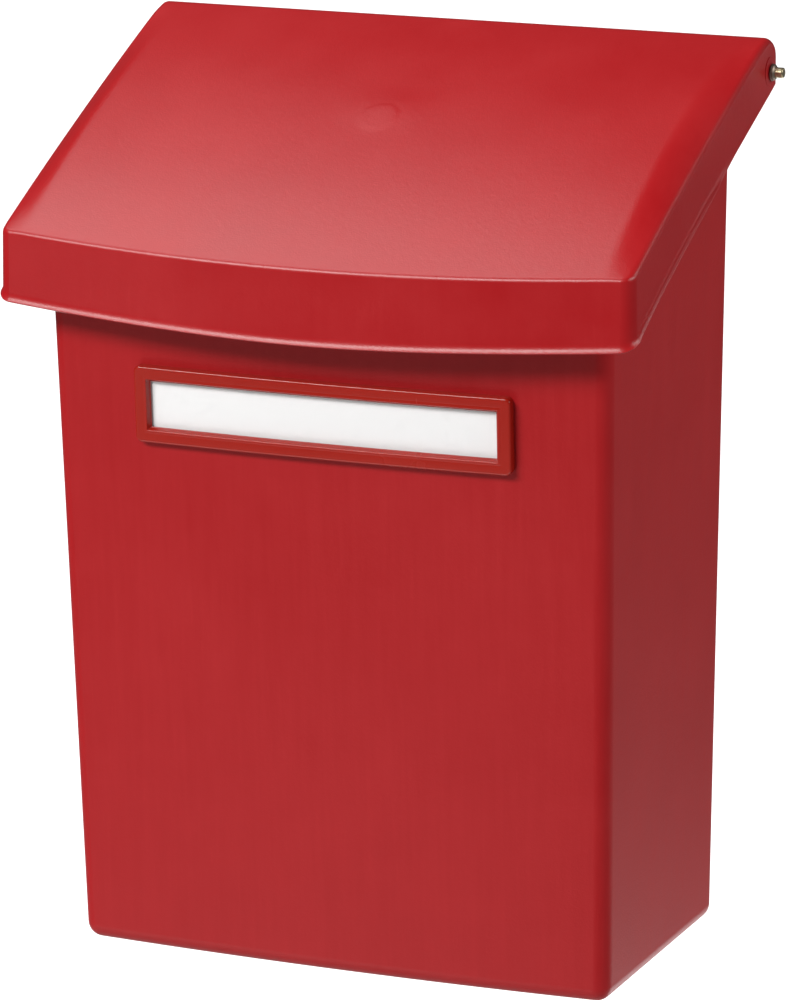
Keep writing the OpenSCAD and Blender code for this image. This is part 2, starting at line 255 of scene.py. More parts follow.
class Maker:
    """Collects faces in the mould's measure and turns them into one object."""

    def __init__(self, name: str, mould: Mould) -> None:
        """Starts an empty mesh.

        Args:
            name: Name of the object to be made.
            mould: Where the mould lies.
        """
        self.name = name
        self.mould = mould
        self.bm = bmesh.new()

    def grid(self, rows: Grid, closed: bool = False) -> None:
        """Adds a grid of quads.

        Args:
            rows: Rows of points, all of one length.
            closed: Whether each row closes on itself.
        """
        verts = [[self.bm.verts.new(p) for p in row] for row in rows]
        for low, high in zip(verts, verts[1:]):
            count = len(low)
            for i in range(count if closed else count - 1):
                j = (i + 1) % count
                self.bm.faces.new((low[i], low[j], high[j], high[i]))

    def cap(self, points: Sequence[Point]) -> None:
        """Adds one flat face."""
        self.bm.faces.new([self.bm.verts.new(p) for p in points])

    def solid(self, rows: Grid) -> None:
        """Adds a closed solid: rings of points, with a cap on the first and the last."""
        self.grid(rows, closed=True)
        self.cap(rows[0])
        self.cap(rows[-1])

    def prism(self, outline: Sequence[Flat], x0: float, x1: float) -> None:
        """Adds a solid: an outline in depth and height, drawn out from x0 to x1."""
        self.solid([[(x, y, z) for y, z in outline] for x in (x0, x1)])

    def upright(self, outline: Sequence[Flat], z0: float, z1: float) -> None:
        """Adds a solid: an outline in width and depth, drawn up from z0 to z1."""
        self.solid([[(x, y, z) for x, y in outline] for z in (z0, z1)])

    def trim(self, at: Point, normal: Point) -> None:
        """Cuts away all that lies beyond a plane and closes the cut."""
        geometry = self.bm.verts[:] + self.bm.edges[:] + self.bm.faces[:]
        cut = bmesh.ops.bisect_plane(self.bm, geom=geometry, plane_co=at, plane_no=normal, clear_outer=True)
        edges = [e for e in cut["geom_cut"] if isinstance(e, bmesh.types.BMEdge)]
        bmesh.ops.holes_fill(self.bm, edges=edges)

    def soften(self, width: float, sharper: float, keep: Callable[[Vector], bool]) -> None:
        """Rounds sharp edges.

        Args:
            width: Width of the rounding.
            sharper: Only edges sharper than this angle, in degrees, are rounded.
            keep: Tells of a vertex place whether its edges may be rounded.
        """
        self.weld()
        edges = [
            e
            for e in self.bm.edges
            if e.calc_face_angle(0) > math.radians(sharper) and all(keep(v.co) for v in e.verts)
        ]
        bmesh.ops.bevel(self.bm, geom=edges, offset=width, segments=3, profile=0.5, affect="EDGES", clamp_overlap=True)

    def weld(self) -> None:
        """Joins points that lie on each other and turns every face outwards."""
        bmesh.ops.remove_doubles(self.bm, verts=self.bm.verts, dist=1e-3)
        bmesh.ops.recalc_face_normals(self.bm, faces=self.bm.faces)

    def done(self) -> Thing:
        """Links the finished object to the scene and returns it."""
        self.weld()
        for v in self.bm.verts:
            v.co = self.mould.place(tuple(v.co))
        mesh = bpy.data.meshes.new(self.name)
        self.bm.to_mesh(mesh)
        self.bm.free()
        thing = bpy.data.objects.new(self.name, mesh)
        bpy.context.scene.collection.objects.link(thing)
        return thing


def join(base: Thing, tool: Thing, how: Join) -> None:
    """Adds a tool shape to a base shape, or cuts it away, and deletes the tool."""
    step = base.modifiers.new(how.value, "BOOLEAN")
    step.object = tool
    step.operation = how.value
    step.solver = "EXACT"
    graph = bpy.context.evaluated_depsgraph_get()
    mesh = bpy.data.meshes.new_from_object(base.evaluated_get(graph))
    base.modifiers.clear()
    base.data = mesh
    bpy.data.objects.remove(tool)


def shade(thing: Thing, crease: float = 32.0) -> None:
    """Shades a piece smoothly, with hard edges where it turns by more than crease degrees."""
    bm = bmesh.new()
    bm.from_mesh(thing.data)
    for face in bm.faces:
        face.smooth = True
    for edge in bm.edges:
        edge.smooth = edge.calc_face_angle(0) < math.radians(crease)
    bm.to_mesh(thing.data)
    bm.free()
    even = thing.modifiers.new("even_shading", "WEIGHTED_NORMAL")
    even.keep_sharp = True
    even.weight = 60


def rounded_box(width: float, height: float, radius: float, steps: int, along: int) -> list[Flat]:
    """Outline of a rounded rectangle about the origin.

    Args:
        width: Full width.
        height: Full height.
        radius: Corner radius.
        steps: Segments in each corner.
        along: Segments along each long side.

    Returns:
        Points in order round the outline.
    """
    points: list[Flat] = []
    for quarter in range(4):
        sx = 1 if quarter in (0, 3) else -1
        sy = 1 if quarter in (0, 1) else -1
        corner = (sx * (width / 2 - radius), sy * (height / 2 - radius))
        points += arc(corner, radius, quarter * math.pi / 2, (quarter + 1) * math.pi / 2, steps)
        if quarter in (0, 2):
            points += [(x, sy * height / 2) for x in spread(corner[0], -corner[0], along)[1:-1]]
    return points


# ---- Finishes ----


class Nodes:
    """A thin helper that adds and wires nodes in one tree."""

    def __init__(self, tree: Tree) -> None:
        """Works on tree."""
        self.tree = tree

    def add(self, kind: str, settings: dict | None = None, **values: object) -> Node:
        """Adds a node.

        Args:
            kind: Blender's name for the kind of node.
            settings: Properties to set on the node.
            **values: Input values, as give takes them.

        Returns:
            The new node.
        """
        node = self.tree.nodes.new(kind)
        for name, value in (settings or {}).items():
            setattr(node, name, value)
        self.give(node, **values)
        return node

    def give(self, node: Node, **values: object) -> None:
        """Sets or links inputs by name, with underscores for spaces."""
        for name, value in values.items():
            self.feed(node, name.replace("_", " "), value)

    def feed(self, node: Node, name: str | int, value: object) -> None:
        """Sets or links one input."""
        if isinstance(value, Socket):
            self.tree.links.new(value, node.inputs[name])
        else:
            node.inputs[name].default_value = value

    def math(self, operation: str, a: object, b: object) -> Socket:
        """Adds one sum and returns its result."""
        node = self.add("ShaderNodeMath", {"operation": operation})
        self.feed(node, 0, a)
        self.feed(node, 1, b)
        return node.outputs[0]

    def noise(self, place: Socket, scale: object, detail: float = 2.0, roughness: float = 0.5) -> Socket:
        """Adds a noise texture and returns its value."""
        node = self.add("ShaderNodeTexNoise", Vector=place, Scale=scale, Detail=detail, Roughness=roughness)
        return node.outputs[0]

    def stretched(self, place: Socket, scale: Point, turn: Point = (0.0, 0.0, 0.0)) -> Socket:
        """Scales and turns a place and returns it."""
        return self.add("ShaderNodeMapping", Vector=place, Scale=scale, Rotation=turn).outputs[0]

    def range(self, value: object, low: float, high: float, to_low: float = 0.0, to_high: float = 1.0) -> Socket:
        """Maps a value from one range to another, held at both ends, and returns the result."""
        node = self.add("ShaderNodeMapRange", {"clamp": True}, Value=value, From_Min=low, From_Max=high)
        self.give(node, To_Min=to_low, To_Max=to_high)
        return node.outputs[0]

    def colour(self, skin: Node, share: Socket, first: Colour, second: Colour) -> None:
        """Gives a skin a colour that goes from the first to the second with share."""
        mix = self.add("ShaderNodeMix", {"data_type": "RGBA"})
        for name, value in ((0, share), (6, (*first, 1.0)), (7, (*second, 1.0))):
            self.feed(mix, name, value)
        self.give(skin, Base_Color=mix.outputs[2])

    def relief(self, skin: Node, height: Socket, depth: float, strength: float = 1.0) -> None:
        """Gives a skin a bump of a depth in metres."""
        bump = self.add("ShaderNodeBump", Strength=strength, Distance=depth, Height=height)
        self.give(skin, Normal=bump.outputs[0])


@dataclass(frozen=True)
class GroupFace:
    """The named inputs and outputs of a shader node group."""

    inputs: tuple[tuple[str, float], ...]
    outputs: tuple[str, ...]


def new_group(name: str, face: GroupFace) -> tuple[Tree, Nodes, Node, Node, Socket]:
    """Starts a shader node group of plain numbers.

    Args:
        name: Name of the group.
        face: Its inputs and outputs.

    Returns:
        The group's tree, a helper for it, its input node, its output node and the object's own place.
    """
    tree = bpy.data.node_groups.new(name, "ShaderNodeTree")
    for label, value in face.inputs:
        socket = tree.interface.new_socket(label, in_out="INPUT", socket_type="NodeSocketFloat")
        socket.default_value = value
    for label in face.outputs:
        tree.interface.new_socket(label, in_out="OUTPUT", socket_type="NodeSocketFloat")
    nodes = Nodes(tree)
    place = nodes.add("ShaderNodeTexCoord").outputs["Object"]
    return tree, nodes, tree.nodes.new("NodeGroupInput"), tree.nodes.new("NodeGroupOutput"), place


def grain_group() -> Tree:
    """The fine spark grain of a moulded skin: a height, a mottled tone and upright draw marks."""
    face = GroupFace((("Scale", 900.0), ("Mottle", 14.0)), ("Height", "Tone", "Marks"))
    tree, nodes, given, result, place = new_group("spark_grain", face)
    scale = given.outputs["Scale"]
    fine = nodes.noise(place, scale, 3.0, 0.6)
    coarse = nodes.noise(place, nodes.math("MULTIPLY", scale, 0.3))
    mottle = nodes.noise(place, given.outputs["Mottle"], 5.0, 0.62)
    drawn = nodes.stretched(place, (1.0, 1.0, 0.035))
    marks = nodes.noise(drawn, nodes.math("MULTIPLY", scale, 0.22), 3.0, 0.6)
    height = nodes.math("ADD", fine, nodes.math("MULTIPLY", coarse, 0.7))
    nodes.give(result, Height=height, Tone=nodes.range(mottle, 0.3, 0.7), Marks=nodes.range(marks, 0.35, 0.7))
    return tree


def scuff_group() -> Tree:
    """Faint rubbed patches and hairline scratches, as a mask."""
    face = GroupFace((("Scale", 22.0), ("Amount", 0.5)), ("Mask",))
    tree, nodes, given, result, place = new_group("rubbed_patches", face)
    scale = given.outputs["Scale"]
    patches = nodes.noise(place, scale, 6.0, 0.7)
    turned_place = nodes.stretched(place, (6.0, 6.0, 0.5), (0.4, 0.9, 0.2))
    lines = nodes.noise(turned_place, nodes.math("MULTIPLY", scale, 4.0))
    worn = nodes.math("MULTIPLY", nodes.range(patches, 0.56, 0.72), 0.7)
    fine = nodes.math("MULTIPLY", nodes.range(lines, 0.66, 0.70), 0.5)
    both = nodes.math("ADD", worn, fine)
    nodes.give(result, Mask=nodes.math("MULTIPLY", both, given.outputs["Amount"]))
    return tree


def brushed_group() -> Tree:
    """Drawn or turned metal: fine lines round the hinge's axis and blotchy plating."""
    face = GroupFace((("Lines", 2500.0), ("Blotch", 260.0)), ("Height", "Stain"))
    tree, nodes, given, result, place = new_group("drawn_metal", face)
    lines = nodes.noise(nodes.stretched(place, (1.0, 0.08, 0.08)), given.outputs["Lines"])
    stain = nodes.noise(place, given.outputs["Blotch"], 5.0, 0.65)
    nodes.give(result, Height=lines, Stain=nodes.range(stain, 0.35, 0.7))
    return tree


@dataclass
class Shelf:
    """The shader node groups that the finishes share, each built once."""

    grain: Tree = field(default_factory=grain_group)
    scuffs: Tree = field(default_factory=scuff_group)
    brushed: Tree = field(default_factory=brushed_group)


def start_material(name: str) -> tuple[Material, Nodes, Node]:
    """Starts a material.

    Args:
        name: Name of the material.

    Returns:
        The material, a helper for its tree and its Principled shader.
    """
    material = bpy.data.materials.new(name)
    material.use_nodes = True
    tree = material.node_tree
    return material, Nodes(tree), tree.nodes["Principled BSDF"]


def placed_group(nodes: Nodes, tree: Tree, **values: float) -> Node:
    """Places a shared group in a material with its own values."""
    return nodes.add("ShaderNodeGroup", {"node_tree": tree}, **values)


@dataclass(frozen=True)
class Plastic:
    """A moulded plastic skin.

    Attributes:
        name: Name of the material.
        deep: Colour where the pigment looks deepest.
        pale: Colour where the skin looks palest.
        roughness: Roughness of the clean skin.
        specular: Strength of the plain reflection, 0.5 for common plastic.
        grain: Depth of the grain's bump, in metres.
        grain_scale: Fineness of the grain.
        worn: Strength of the rubbed patches.
        marks: Strength of the upright draw marks.
        coat: Weight of the smooth skin over the grain.
        coat_roughness: Roughness of that smooth skin.
    """

    name: str
    deep: Colour
    pale: Colour
    roughness: float
    specular: float
    grain: float
    grain_scale: float
    worn: float
    marks: float = 0.0
    coat: float = 0.0
    coat_roughness: float = 0.3

    def build(self, shelf: Shelf) -> Material:
        """Builds the material from the shared groups."""
        material, nodes, skin = start_material(self.name)
        grain = placed_group(nodes, shelf.grain, Scale=self.grain_scale)
        scuffs = placed_group(nodes, shelf.scuffs, Amount=self.worn)
        tone = nodes.math("ADD", nodes.math("MULTIPLY", grain.outputs["Tone"], 0.6), scuffs.outputs["Mask"])
        tone = nodes.math("ADD", tone, nodes.math("MULTIPLY", grain.outputs["Marks"], self.marks))
        nodes.colour(skin, tone, self.deep, self.pale)
        nodes.relief(skin, grain.outputs["Height"], self.grain)
        rough = nodes.range(tone, 0.0, 1.0, self.roughness - 0.03, self.roughness + 0.05)
        nodes.give(skin, Roughness=rough, Specular_IOR_Level=self.specular)
        nodes.give(skin, Coat_Weight=self.coat, Coat_Roughness=self.coat_roughness)
        return material


@dataclass(frozen=True)
class Metal:
    """A plated or passivated metal.

    Attributes:
        name: Name of the material.
        clean: Colour of the bright metal.
        stained: Colour of the dulled plating.
        roughness: Roughness of the bright metal.
        lines: Depth of the drawing or turning lines, in metres.
    """

    name: str
    clean: Colour
    stained: Colour
    roughness: float
    lines: float

    def build(self, shelf: Shelf) -> Material:
        """Builds the material from the shared groups."""
        material, nodes, skin = start_material(self.name)
        metal = placed_group(nodes, shelf.brushed)
        stain = metal.outputs["Stain"]
        nodes.colour(skin, stain, self.clean, self.stained)
        nodes.relief(skin, metal.outputs["Height"], self.lines)
        nodes.give(skin, Roughness=nodes.range(stain, 0.0, 1.0, self.roughness, self.roughness + 0.2), Metallic=1.0)
        return material


@dataclass(frozen=True)
class Paper:
    """Smooth white card with a faint fibre.

    Attributes:
        name: Name of the material.
        white: Colour of the card.
        fibre: Colour of the thicker fibres.
    """

    name: str
    white: Colour
    fibre: Colour

    def build(self, shelf: Shelf) -> Material:
        """Builds the material from the shared groups."""
        material, nodes, skin = start_material(self.name)
        grain = placed_group(nodes, shelf.grain, Scale=1800.0, Mottle=420.0)
        tone = grain.outputs["Tone"]
        nodes.colour(skin, tone, self.white, self.fibre)
        nodes.relief(skin, grain.outputs["Height"], 0.00004, 0.5)
        nodes.give(skin, Roughness=nodes.range(tone, 0.0, 1.0, 0.72, 0.85), Specular_IOR_Level=0.3)
        return material


@dataclass(frozen=True)
class ClearSheet:
    """A thin clear plastic sheet, seen through.

    Attributes:
        name: Name of the material.
        tint: Colour of the sheet where it shows.
        alpha: How much of the sheet shows.
    """

    name: str
    tint: Colour
    alpha: float

    def build(self, shelf: Shelf) -> Material:
        """Builds the material from the shared groups."""
        material, nodes, skin = start_material(self.name)
        mask = placed_group(nodes, shelf.scuffs, Scale=60.0, Amount=0.4).outputs["Mask"]
        alpha = nodes.range(mask, 0.0, 1.0, self.alpha, self.alpha + 0.1)
        nodes.give(skin, Base_Color=(*self.tint, 1.0), IOR=1.49)
        nodes.give(skin, Roughness=nodes.range(mask, 0.0, 1.0, 0.07, 0.35), Alpha=alpha)
        return material


@dataclass(frozen=True)
class Finishes:
    """Every finish of the letter box."""

    body: Plastic = Plastic(
        "red_moulded_body", (0.400, 0.0060, 0.0085), (0.45, 0.013, 0.016), 0.42, 0.26, 0.00007, 1100.0, 0.35, 0.35
    )
    lid: Plastic = Plastic(
        "red_moulded_lid", (0.405, 0.0065, 0.0095), (0.47, 0.018, 0.021), 0.31, 0.40, 0.00007, 1100.0, 0.3, 0.1
    )
    frame: Plastic = Plastic(
        "red_glossy_frame", (0.37, 0.012, 0.005), (0.40, 0.016, 0.007), 0.26, 0.35, 0.00001, 900.0, 0.15, 0.0, 0.2, 0.12
    )
    rod: Metal = Metal("yellow_passivated_rod", (0.62, 0.54, 0.36), (0.36, 0.29, 0.17), 0.24, 0.00001)
    zinc: Metal = Metal("dull_zinc_fittings", (0.36, 0.30, 0.25), (0.16, 0.11, 0.08), 0.40, 0.00001)
    card: Paper = Paper("white_card", (0.99, 0.99, 0.98), (0.97, 0.97, 0.96))
    window: ClearSheet = ClearSheet("clear_window", (0.97, 0.98, 1.0), 0.06)


# ---- Pieces ----


@dataclass
class Fittings:
    """What every sub-assembly needs: where the mould lies, and the finishes."""

    mould: Mould
    shelf: Shelf
    finishes: Finishes
    pin: Flat
    curve: LidCurve

    def dress(
        self,
        thing: Thing,
        finish: Plastic | Metal | Paper | ClearSheet,
        body: Body,
        slot: Slot,
        node: str,
        crease: float = 32.0,
    ) -> Thing:
        """Shades a piece, gives it its finish and ties it to the CAD model.

        Args:
            thing: The piece.
            finish: Its finish.
            body: The CAD body it rides on.
            slot: The record's material slot; not used.
            node: The CAD node it stands for.
            crease: Angle over which an edge stays hard, in degrees.

        Returns:
            The piece.
        """
        shade(thing, crease)
        material = bpy.data.materials.get(finish.name) or finish.build(self.shelf)
        thing.data.materials.clear()
        thing.data.materials.append(material)
        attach(thing, body.value)
        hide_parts(node)
        LOG.info("%s: %d faces on %s", thing.name, len(thing.data.polygons), body.value)
        return thing


@dataclass(frozen=True)
class Station:
    """One upright line of the body's wall.

    Attributes:
        run: The stretch of the outline that it is on.
        share: How far along that stretch it is, from 0 to 1.
        side: 1 on the right, -1 on the left.
        at: A fixed depth for a station near the back of a side, or None.
    """

    run: Run
    share: float
    side: int
    at: float | None = None


@dataclass
class BoxBody:
    """The deep moulded body with its rim, wall rails and hinge knuckles."""

    kit: Fittings
    width: float = 268.0
    depth: float = 145.4
    side_lean: float = 0.9
    front_lean: float = 2.5
    bow_depth: float = 4.6
    corner: float = 7.8
    wall: float = 2.5
    floor: float = 3.0
    flange: float = 4.0
    flange_depth: float = 2.4
    edge: float = 0.5
    back_height: float = 404.0
    rim_under: float = 3.3
    rim_step: float = -18.0
    flange_end: float = -22.0
    rail_half: float = 17.0
    rail_depth: float = 24.0
    rail_round: float = 5.0
    rail_slope: float = 10.0
    rail_ends: Flat = (10.0, 384.0)
    screw_half: float = 100.0
    screw_heights: Flat = (60.0, 340.0)
    screw_hole: float = 6.0
    drain_hole: float = 5.0
    drain_places: tuple[float, ...] = (-90.0, 0.0, 90.0)
    knuckle: float = 10.0
    knuckle_spans: tuple[Flat, ...] = ((30.0, 50.0), (118.0, 137.0))
    web_foot: float = 382.0
    web_face: float = 2.8
    bore: float = 5.1

    def size_at(self, z: float, foot: float, round_in: float) -> Flat:
        """Half width and front corner depth at height z, for a block that stands on foot."""
        full = self.kit.curve.rear[1]
        height = lerp(foot, full, max(z - foot - round_in, 0.0) / (full - foot - round_in))
        wider, deeper = (height * math.tan(math.radians(lean)) for lean in (self.side_lean, self.front_lean))
        return self.width / 2 + wider, self.depth + deeper

    def stations(self) -> list[Station]:
        """Every station once round the body."""
        half = [Station(Run.BACK, t, 1) for t in spread(0.0, 1.0, 8)]
        half += [Station(Run.REAR_CORNER, t, 1) for t in spread(0.0, 1.0, 8)[1:]]
        marks = (self.rim_step + 0.02, self.rim_step - 0.02, self.flange_end + 0.02, self.flange_end - 0.02)
        half += [Station(Run.SIDE, 0.0, 1, at) for at in (-13.0, *marks)]
        for run, steps in ((Run.SIDE, 16), (Run.FRONT_CORNER, 10), (Run.FRONT, 20)):
            half += [Station(run, t, 1) for t in spread(0.0, 1.0, steps)[1:]]
        other = [Station(s.run, s.share, -1, s.at) for s in reversed(half[1:-1])]
        return half + other

    def plan(self, s: Station, size: Flat, grow: float) -> Flat:
        """Width and depth of a station.

        Args:
            s: The station.
            size: Half width and front corner depth at its height.
            grow: How far the outline is grown.

        Returns:
            The point in plan.
        """
        half, deep = size
        r = self.corner
        bow = Bow(self.width / 2, self.bow_depth)
        centre = -deep - self.bow_depth + bow.radius
        core = bow.radius - r
        front = centre - math.sqrt(core**2 - (half - r) ** 2)
        turn = math.asin((half - r) / core)
        if s.run is Run.BACK:
            x, y = s.share * (half - r), grow
        elif s.run is Run.REAR_CORNER:
            a = math.pi / 2 * (1 - s.share)
            x, y = half - r + (r + grow) * math.cos(a), -r + (r + grow) * math.sin(a)
        elif s.run is Run.SIDE:
            x, y = half + grow, lerp(self.flange_end - 0.02, front, s.share) if s.at is None else s.at
        elif s.run is Run.FRONT_CORNER:
            a = -s.share * (math.pi / 2 - turn)
            x, y = half - r + (r + grow) * math.cos(a), front + (r + grow) * math.sin(a)
        else:
            a = turn * (1 - s.share)
            x, y = (bow.radius + grow) * math.sin(a), centre - (bow.radius + grow) * math.cos(a)
        return s.side * x, y

    def ring(
        self, grow: float, height: Callable[[float], float], inside: bool = False, flanged: float = 0.0
    ) -> list[Point]:
        """One closed ring round the body.

        Args:
            grow: How far the ring stands out from the wall's outside.
            height: Gives the ring's height at a depth.
            inside: Whether the ring is on the inner skin, which stands on the floor.
            flanged: How much further the ring stands out where the rim has its flange.

        Returns:
            The ring's points, one for each station.
        """
        foot, round_in = (self.floor, self.corner - self.wall) if inside else (0.0, self.corner)
        points: list[Point] = []
        for s in self.stations():
            z = height(-self.depth / 2)
            for _ in range(4):
                size = self.size_at(z, foot, round_in)
                x, y = self.plan(s, size, grow)
                if flanged and y < self.flange_end and s.run is not Run.REAR_CORNER:
                    x, y = self.plan(s, size, grow + flanged)
                z = height(y)
            points.append((x, y, z))
        return points

    def rim(self, y: float, drop: float = 0.0) -> float:
        """Height of the rim at depth y, less drop."""
        if y > self.rim_step:
            return self.back_height - drop
        return self.kit.curve.height(y, self.rim_under + drop)

    def shell(self) -> Thing:
        """The walls, floor and flange in one closed skin."""
        maker = Maker("box_body", self.kit.mould)
        r_in, e, soft = self.corner - self.wall, self.edge, 0.15
        full, deep = self.flange, self.flange_depth
        rows: Grid = []
        for t in spread(0.0, math.pi / 2, 8):
            z = self.corner * (1 - math.cos(t))
            rows.append(self.ring(-self.corner * (1 - math.sin(t)), lambda y, z=z: z))
        for v in spread(0.0, 1.0, 10)[1:]:
            rows.append(self.ring(0.0, lambda y, v=v: lerp(self.corner, self.rim(y, deep + 0.4), v)))
        outer = ((0.3, deep), (full - e, deep), (full - soft, deep - soft), (full, deep - e), (full, e))
        for out, drop in (*outer, (full - soft, soft), (full - e, 0.0)):
            rows.append(self.ring(0.0, lambda y, d=drop: self.rim(y, d), flanged=out))
        for inward, drop in ((self.wall - e, 0.0), (self.wall - soft, soft), (self.wall, e)):
            rows.append(self.ring(-inward, lambda y, d=drop: self.rim(y, d), inside=True))
        for v in spread(1.0, 0.0, 10)[1:]:
            rows.append(self.ring(-self.wall, lambda y, v=v: lerp(self.floor + r_in, self.rim(y, e), v), inside=True))
        for t in spread(math.pi / 2, 0.0, 6)[1:]:
            z = self.floor + r_in * (1 - math.cos(t))
            rows.append(self.ring(-self.wall - r_in * (1 - math.sin(t)), lambda y, z=z: z, inside=True))
        maker.solid(rows)
        return maker.done()

    def rails(self, grow: float, start: float, name: str) -> Maker:
        """The hollow wall rails, or with grow under 0 their channels.

        Args:
            grow: How far the rails are grown all round.
            start: Depth at which they start.
            name: Name of the shape.

        Returns:
            A maker that holds them.
        """
        maker = Maker(name, self.kit.mould)
        half = self.rail_half + grow
        deep = self.rail_depth + grow
        r = self.rail_round + grow
        low, high = self.rail_ends[0] - grow, self.rail_ends[1] + grow
        for side in (-1, 1):
            middle = side * self.screw_half
            outline = [(middle - half, start), (middle + half, start)]
            outline += arc((middle + half - r, deep - r), r, 0.0, math.pi / 2, 8)
            outline += arc((middle - half + r, deep - r), r, math.pi / 2, math.pi, 8)
            maker.upright(outline, low, high)
        maker.weld()
        maker.trim((0.0, 0.0, low), (0.0, self.rail_slope, -deep))
        maker.trim((0.0, 0.0, high), (0.0, self.rail_slope, deep))
        return maker

    def knuckles(self) -> Thing:
        """The four hinge knuckles on their webs."""
        maker = Maker("knuckles", self.kit.mould)
        y, z = self.kit.pin
        r = self.knuckle / 2
        low = math.atan2(-math.sqrt(r * r - (y - self.web_face) ** 2), self.web_face - y)
        inner = 2.0 - self.wall
        outline = [(-2.0, self.web_foot), (-0.5, self.web_foot), (self.web_face, self.web_foot + 8)]
        outline += arc((y, z), r, low, math.pi / 2, 24)
        outline += [(0.0, z + r), (-2.0, z - inner * r / self.wall)]
        for x0, x1 in self.knuckle_spans:
            maker.prism(outline, x0, x1)
            maker.prism(outline, -x1, -x0)
        return maker.done()

    def holes(self) -> Thing:
        """The channels, the rod's bore and the drains."""
        maker = self.rails(-self.wall, -self.wall - 1.0, "holes")
        reach = self.knuckle_spans[-1][1] + 2
        maker.prism(circle(self.kit.pin, self.bore / 2, 48), -reach, reach)
        for x in self.drain_places:
            maker.upright(circle((x, -self.depth / 2), self.drain_hole / 2, 40), -1.0, self.floor + 1.0)
        return maker.done()

    def screw_holes(self) -> Thing:
        """The four screw holes through the backs of the rails."""
        maker = Maker("screw_holes", self.kit.mould)
        depths = (self.rail_depth - self.wall - 1, self.rail_depth + 1)
        for side in (-1, 1):
            for z in self.screw_heights:
                ring = circle((side * self.screw_half, z), self.screw_hole / 2, 40)
                maker.solid([[(x, y, h) for x, h in ring] for y in depths])
        return maker.done()

    def build(self, slots: Thing) -> Thing:
        """Builds and dresses the body.

        Args:
            slots: Cutting shape for the name plate's clips, used up here.

        Returns:
            The finished piece.
        """
        body = self.shell()
        rails = self.rails(0.0, -self.wall / 2, "rails")
        rails.soften(1.2, 25.0, lambda p: p.y > 1.0)
        end, top, near, far = self.knuckle_spans[-1][1] - 0.02, self.kit.pin[1], -0.05, 0.05 - self.wall
        strip = [(far, self.web_foot), (near, self.web_foot), (near, top - 0.4), (near - 0.4, top)]
        rails.prism([*strip, (far + 0.4, top), (far, top - 0.4)], -end, end)
        for part, how in (
            (rails.done(), Join.ADD),
            (self.knuckles(), Join.ADD),
            (self.holes(), Join.CUT),
            (self.screw_holes(), Join.CUT),
            (slots, Join.CUT),
        ):
            join(body, part, how)
        return self.kit.dress(body, self.kit.finishes.body, Body.BOX, Slot.BODY, "body_shell")


